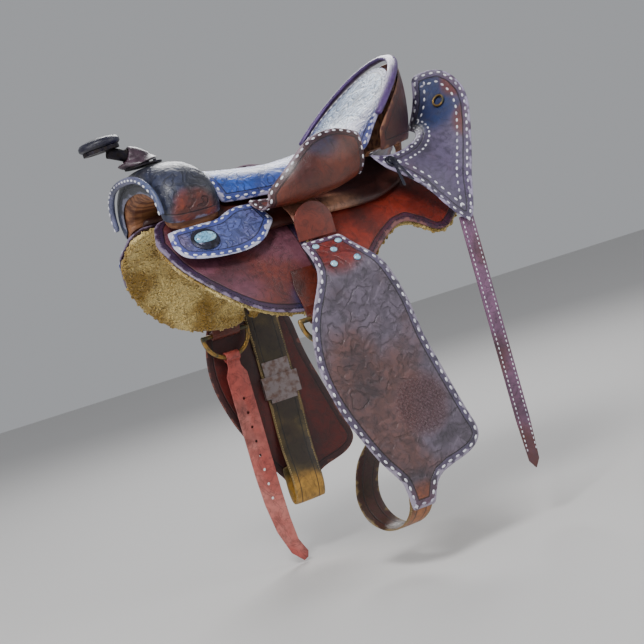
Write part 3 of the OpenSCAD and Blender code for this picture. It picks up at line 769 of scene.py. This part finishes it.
def side_panel(stem, side, k):
    """A jockey or a skirt, with the rows of lace that it needs."""
    look, slot, rough, inset, thread = PANELS[stem]
    name = stem + "_" + side
    mesh, line, normals, inner = panel(name, k)
    made = soften(name + "_leather", mesh, line, 2, rough, seed=3.1 * k + len(stem))
    lace_rows[thread].append(inset_line(made, line, normals, inset))
    if stem in SEEN_FROM_BEHIND:
        lace_rows[thread].append(inset_line(made, *inner, inset))
    if stem == "rear_jockey":
        lace_rows[thread].append(inset_line(made, line, normals, REAR_BAND))
    finish_piece(made, look, "saddle", slot, name)


def centre_panel(name):
    """The seat's leather, the fork's cover or the cantle's back."""
    look, slot, rough, inset, thread = CENTRE_PANELS[name]
    mesh, line, normals, _ = panel(name)
    made = soften(name + "_skin", mesh, line, 2, rough, seed=len(name))
    lace_rows[thread].append(inset_line(made, line, normals, inset))
    finish_piece(made, look, "saddle", slot, name)


def wrapped_piece(name):
    """Leather or rawhide drawn round something, with no edge of its own."""
    look, slot = WRAPPED[name]
    made = soften(name + "_skin", node_copy(name), [], 2, 0.6, seed=len(name))
    if name == "horn_neck_wrap":
        flare_foot(made.data)
    if name == "gullet_roll":
        lace_rows["lace_white"].append(lip_line(made))
    finish_piece(made, look, "saddle", slot, name)


for side, k in SIDES:
    for stem in PANELS:
        side_panel(stem, side, k)
for name in CENTRE_PANELS:
    centre_panel(name)
for name in WRAPPED:
    wrapped_piece(name)
for thread, rows in lace_rows.items():
    slot, sizes = SADDLE_LACE[thread]
    sew("saddle_" + thread, rows, "saddle", thread, sizes)


# ---------- woolskin ----------
def tuft_nodes():
    """Covers a mesh with small curls of wool, turned at random about the surface's normal."""
    tree = bpy.data.node_groups.new("grow_wool", "GeometryNodeTree")
    add = tree.interface.new_socket
    add("Geometry", in_out="INPUT", socket_type="NodeSocketGeometry")
    add("Density", in_out="INPUT", socket_type="NodeSocketFloat").default_value = 9000
    add("Size", in_out="INPUT", socket_type="NodeSocketFloat").default_value = 0.011
    add("Material", in_out="INPUT", socket_type="NodeSocketMaterial")
    add("Geometry", in_out="OUTPUT", socket_type="NodeSocketGeometry")
    ins = tree.nodes.new("NodeGroupInput")
    outs = tree.nodes.new("NodeGroupOutput")
    spread = node(tree, "GeometryNodeDistributePointsOnFaces",
                  [("Mesh", ins.outputs["Geometry"]), ("Density", ins.outputs["Density"]), ("Seed", 7)])
    ball = node(tree, "GeometryNodeMeshIcoSphere", [("Radius", 0.5), ("Subdivisions", 2)])
    size = node(tree, "FunctionNodeRandomValue", [(0, (0.8, 0.4, 0.45)), (1, (1.5, 0.75, 0.8)), ("Seed", 3)],
                data_type="FLOAT_VECTOR")
    scaled = node(tree, "ShaderNodeVectorMath", [(0, size.outputs[0]), ("Scale", ins.outputs["Size"])],
                  operation="SCALE")
    spin = node(tree, "FunctionNodeRandomValue",
                [(0, (-0.5, -0.5, 0.0)), (1, (0.5, 0.5, 6.28)), ("Seed", 11)], data_type="FLOAT_VECTOR")
    turned = node(tree, "FunctionNodeRotateEuler",
                  [("Rotation", spread.outputs["Rotation"]), ("Rotate By", spin.outputs[0])], space="LOCAL")
    laid = node(tree, "GeometryNodeInstanceOnPoints",
                [("Points", spread.outputs["Points"]), ("Instance", ball.outputs[0]),
                 ("Rotation", turned.outputs[0]), ("Scale", scaled.outputs[0])])
    real = node(tree, "GeometryNodeRealizeInstances", [(0, laid.outputs[0])])
    both = node(tree, "GeometryNodeJoinGeometry")
    tree.links.new(real.outputs[0], both.inputs[0])
    tree.links.new(ins.outputs["Geometry"], both.inputs[0])
    shaded = node(tree, "GeometryNodeSetShadeSmooth", [(0, both.outputs[0])])
    done = node(tree, "GeometryNodeSetMaterial",
                [(0, shaded.outputs[0]), ("Material", ins.outputs["Material"])])
    tree.links.new(done.outputs[0], outs.inputs[0])
    return tree


WOOL = tuft_nodes()


def rough_up(made):
    """Shakes every point a little, so that no tuft looks like a ball."""
    for vert in made.data.vertices:
        vert.co += noise.noise_vector(vert.co * 260) * 0.9 * MM


def woolskin(name, side):
    """The lining, packed flat in places, with curls on it."""
    mesh, line, *_ = panel(name, side)
    made = soften(name + "_wool", mesh, line, 2, 1.6, seed=9.0 * side)
    finish_piece(made, "wool", "saddle", "woolskin", name)
    push_out(made.data, lambda co: noise.noise(co * 90) * 1.6 - 1.5)
    run_nodes(made, WOOL, Material=LOOK["wool"], Density=14000.0, Size=0.0085)
    rough_up(made)


for side, k in SIDES:
    for stem in ("front_lining_", "rear_lining_"):
        woolskin(stem + side, k)


# ---------- fenders, leathers and straps ----------
def strap_copy(name, look, slot, body, bevel=0.0):
    """A strap made from its node: its edges bevelled, or, with no bevel, rounded and laid in gentle waves."""
    mesh = node_copy(name)
    mesh.verts.index_update()
    if bevel:
        bmesh.ops.dissolve_limit(mesh, angle_limit=0.02, verts=mesh.verts, edges=mesh.edges)
        sharp = [e for e in mesh.edges if len(e.link_faces) == 2 and e.calc_face_angle(0) > 0.6]
        bmesh.ops.bevel(mesh, geom=sharp, offset=bevel, segments=2, profile=0.6, affect="EDGES")
        bmesh.ops.triangulate(mesh, faces=mesh.faces)
        made = soften(name + "_strap", mesh, [], 0, 0.0)
    else:
        made = soften(name + "_strap", mesh, [], 2, 0.8, seed=len(name))
    finish_piece(made, look, body, slot, name)


def straight_row(start, end, normal):
    """Points for a straight row of stitches, all facing one way."""
    return resample([start, end], [normal] * 2, False, ROW_SPACING)


def fender(side, k):
    """A fender with buckstitch round its outer face."""
    name = "fender_" + side
    mesh, line, normals, _ = panel(name, k)
    made = soften(name + "_leather", mesh, line, 2, 0.7, seed=5.0 * k)
    rows = [inset_line(made, line, normals, 8 * MM)]
    finish_piece(made, "fender" if k > 0 else "fender_off", name, "fender_mauve", name)
    sew(name + "_lace", rows, name, "lace_white", FENDER_BUCKSTITCH)


def stirrup_loop(side, k):
    """The leather's empty loop below the fender, sewn with thread."""
    name = "stirrup_loop_" + side
    body = "fender_" + side
    mesh, line, normals, _ = panel(name, -k, turn=math.radians(60))
    made = soften(name + "_strap", mesh, line, 2, 0.8, seed=2.0)
    rows = [inset_line(made, line, normals, 5 * MM)]
    finish_piece(made, "olive", body, "olive", name)
    sew(name + "_thread", rows, body, "lace_cream", LOOP_THREAD)


def tail_strap(side):
    """The long strap behind, with a row of buckstitch along each edge of both faces."""
    name = "tail_strap_" + side
    strap_copy(name, "tail_" + side, "grey_violet", name, bevel=1.0 * MM)
    low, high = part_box(name)
    edge, top, tip, above = 5 * MM, 12 * MM, 34 * MM, 0.2 * MM
    rows = []
    for face in (-1, 1):
        y = (high[1] if face > 0 else low[1]) + above * face
        for x in (low[0] + edge, high[0] - edge):
            rows.append(straight_row(Vector((x, y, high[2] - top)), Vector((x, y, low[2] + tip)),
                                     Vector((0, face, 0))))
    sew(name + "_thread", rows, name, "lace_white", STRAP_BUCKSTITCH)


for side, k in SIDES:
    fender(side, k)
    stirrup_loop(side, k)
    strap_copy("leather_hanger_" + side, "raw", "raw_leather", "saddle")
    strap_copy("rigging_strap_" + side, "rust", "rust", "saddle", bevel=0.5 * MM)
    strap_copy("leather_top_" + side, "top", "raw_leather", "leather_" + side, bevel=0.8 * MM)
    tail_strap(side)
strap_copy("latigo", "red", "rust", "latigo", bevel=0.8 * MM)
strap_copy("off_billet", "red", "rust", "off_billet", bevel=0.8 * MM)


# ---------- concho stones, saddle strings, and hardware that keeps its node's shape ----------
STONE = (20.5 * MM, 13.5 * MM, 6.5 * MM)     # half length, half width, half depth
STONE_RISE = 5 * MM                          # its middle above the concho's back


def set_stone(side):
    """An oval turquoise set in the front concho, standing out from the leather."""
    mesh = node_copy("front_concho_" + side)
    base = flat_groups(mesh, math.radians(5))[0]
    inward = sum((f.normal * f.calc_area() for f in base), Vector()).normalized()
    area = sum(f.calc_area() for f in base)
    centre = sum((f.calc_center_median() * f.calc_area() for f in base), Vector()) / area
    mesh.free()
    stone_mesh = bmesh.new()
    bmesh.ops.create_uvsphere(stone_mesh, u_segments=32, v_segments=16, radius=1.0)
    long_way = (Vector((1, 0, 0)) - inward * inward.x).normalized()
    turn = Matrix((long_way, long_way.cross(inward), -inward)).transposed().to_4x4()
    size = Matrix.Diagonal((*STONE, 1))
    bmesh.ops.transform(stone_mesh, matrix=Matrix.Translation(centre - inward * STONE_RISE) @ turn @ size,
                        verts=stone_mesh.verts)
    data = bpy.data.meshes.new("concho_stone_" + side)
    stone_mesh.to_mesh(data)
    stone_mesh.free()
    data.shade_smooth()
    finish_piece(new_object("concho_stone_" + side, data), "stone", "saddle", "turquoise")


ROSETTE_X, ROSETTE_Z = -184 * MM, -34 * MM
ROSETTE_DISCS = ((13, 1.5), (8.5, 4.5))      # radius, height above the seat, in millimetres
STRINGS = ((-13, 66), (10, 58))              # tilt in degrees, length in millimetres
STRING_WIDTH, STRING_THICKNESS, STRING_RISE = 5.5 * MM, 2.2 * MM, 6.5 * MM


def tie_strings(side, k):
    """A rosette on the rear jockey's front corner, with two saddle strings hanging from it."""
    mesh = bmesh.new()
    mesh.from_mesh(NODES["rear_jockey_" + side].data)
    beside = Vector((ROSETTE_X, k * 0.3, ROSETTE_Z))
    place, normal, *_ = BVHTree.FromBMesh(mesh).ray_cast(beside, Vector((0, -k, 0)), 0.3)
    if normal.y * k < 0:
        normal = -normal
    up = (Vector((0, 0, 1)) - normal * normal.z).normalized()
    turn = Matrix((up.cross(normal), up, normal)).transposed().to_4x4()
    seat = Matrix.Translation(place + normal * 2.6 * MM) @ turn
    mesh.clear()
    for radius, rise in ROSETTE_DISCS:
        bmesh.ops.create_cone(mesh, cap_ends=True, segments=28, radius1=radius * MM,
                              radius2=0.86 * radius * MM, depth=3 * MM,
                              matrix=seat @ Matrix.Translation((0, 0, rise * MM)))
    for tilt, length in STRINGS:
        hang = Matrix.Translation((0, -length / 2 * MM, STRING_RISE))
        size = Matrix.Diagonal((STRING_WIDTH, length * MM, STRING_THICKNESS, 1))
        turned = Matrix.Rotation(math.radians(tilt), 4, "Z")
        bmesh.ops.create_cube(mesh, size=1, matrix=seat @ (turned @ hang @ size))
    sharp = [e for e in mesh.edges if e.calc_face_angle(0) > 0.6]
    bmesh.ops.bevel(mesh, geom=sharp, offset=0.6 * MM, segments=2, profile=0.6, affect="EDGES")
    made = soften("saddle_strings_" + side, mesh, [], 0, 0.0)
    finish_piece(made, "dark", "saddle", "dark_leather")


def paint(look, *names):
    """Gives nodes that stay as they are their look."""
    for name in names:
        materials = NODES[name].data.materials
        materials.clear()
        materials.append(LOOK[look])


paint("wood", "tree_fork", "tree_cantle")
paint("iron", "horn_core", "horn_bolts")
paint("steel", "seat_strainer", "strainer_screws")
for side, k in SIDES:
    paint("steel", "buckle_plate_" + side, "buckle_sleeve_" + side)
    paint("brass", "rigging_dee_" + side, "jockey_ring_" + side)
    paint("stone", "fender_studs_" + side)
    paint("setting", "front_concho_" + side)
    set_stone(side)
    tie_strings(side, k)


# ---------- stage ----------
# name, place, watts, size
LAMPS = (("key", (1.6, 2.0, 2.4), 105, 1.0), ("fill", (-2.4, 2.0, 0.8), 22, 2.0),
         ("front", (2.6, 0.8, 0.4), 22, 1.8), ("back", (-1.4, -2.4, 1.8), 55, 1.4))
LAMP_AIM = Vector((0, 0, -0.25))
FLOOR_GAP = 4 * MM
AZIMUTH, ELEVATION, ROLL = (math.radians(a) for a in (154, 3, 16))
DISTANCE = 3.0
LENS = 88


def build_stage(low):
    """A plain floor just under the saddle, an even sky and four soft lamps that face the saddle."""
    bpy.ops.mesh.primitive_plane_add(size=14, location=(0, 0, low[2] - FLOOR_GAP))
    floor = bpy.context.object
    floor.name = "floor"
    made, _, shader = new_material("pale_floor")
    shader.inputs["Base Color"].default_value = (0.62, 0.61, 0.60, 1)
    shader.inputs["Roughness"].default_value = 0.9
    floor.data.materials.append(made)
    world = bpy.data.worlds.new("studio")
    world.use_nodes = True
    sky = world.node_tree.nodes["Background"].inputs
    sky["Color"].default_value = (0.86, 0.88, 0.92, 1)
    sky["Strength"].default_value = 0.42
    bpy.context.scene.world = world
    for label, place, power, size in LAMPS:
        lamp = bpy.data.lights.new(label, "AREA")
        lamp.energy = power
        lamp.size = size
        holder = new_object(label, lamp)
        holder.location = place
        holder.rotation_euler = (LAMP_AIM - Vector(place)).to_track_quat("-Z", "Y").to_euler()


def build_camera(low, high):
    """Looks at the near side from ahead of the saddle, a little from above, and rolled."""
    middle = (Vector(low) + Vector(high)) / 2
    back = Vector((math.sin(AZIMUTH) * math.cos(ELEVATION), -math.cos(AZIMUTH) * math.cos(ELEVATION),
                   math.sin(ELEVATION)))
    lens = bpy.data.cameras.new("camera")
    lens.lens = LENS
    camera = new_object("camera", lens)
    camera.location = middle + back * DISTANCE
    turn = (-back).to_track_quat("-Z", "Y").to_matrix() @ Matrix.Rotation(-ROLL, 3, "Z")
    camera.rotation_euler = turn.to_euler()
    bpy.context.scene.camera = camera


build_camera(*cad_box)
build_stage(cad_box[0])
